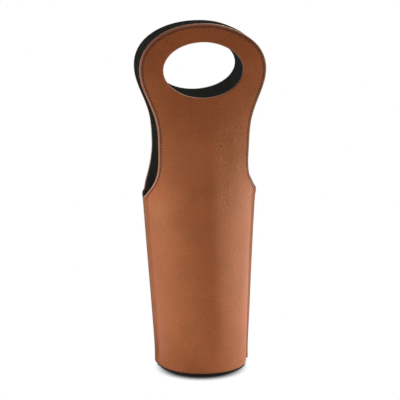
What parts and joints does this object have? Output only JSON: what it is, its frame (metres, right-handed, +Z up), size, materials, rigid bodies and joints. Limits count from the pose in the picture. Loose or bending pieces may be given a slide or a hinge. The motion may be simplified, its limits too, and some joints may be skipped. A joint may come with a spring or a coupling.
{
  "type": "bottle carrier",
  "caption": "Open-topped upright bottle carrier: two bowed keyhole panels with hand holes, seamed at the sides into a tube on a round base.",
  "frame": {"origin": "centre of the underside of the round base", "axes": "+Z up, -Y out of the front panel, +X to the right across the width"},
  "size_m": [0.1452, 0.1, 0.4],
  "materials": {
    "leatherette": "pebbled satin leatherette",
    "bonded_board": "matt cut edge",
    "black_lining": "brushed matt",
    "base_cover": "matt",
    "base_board": "matt"
  },
  "bodies": {
    "pouch": {"base_cover": "base_cover", "base_board": "base_board", "base_lining": "black_lining", "front_skin_lower": "leatherette", "front_core_lower": "bonded_board", "front_lining_lower": "black_lining", "back_skin_lower": "leatherette", "back_core_lower": "bonded_board", "back_lining_lower": "black_lining"},
    "front_handle": {"front_skin_upper": "leatherette", "front_core_upper": "bonded_board", "front_lining_upper": "black_lining"},
    "back_handle": {"back_skin_upper": "leatherette", "back_core_upper": "bonded_board", "back_lining_upper": "black_lining"}
  },
  "joints": [
    {"name": "front_handle_flex", "type": "hinge", "parent": "pouch", "child": "front_handle", "pos_m": [0, -0.02962, 0.262], "axis": [1, 0, 0], "range_deg": [-4.5, 30], "stiffness_Nm_per_rad": 0.4},
    {"name": "back_handle_flex", "type": "hinge", "parent": "pouch", "child": "back_handle", "pos_m": [0, 0.02962, 0.262], "axis": [-1, 0, 0], "range_deg": [-4.5, 30], "stiffness_Nm_per_rad": 0.4}
  ]
}
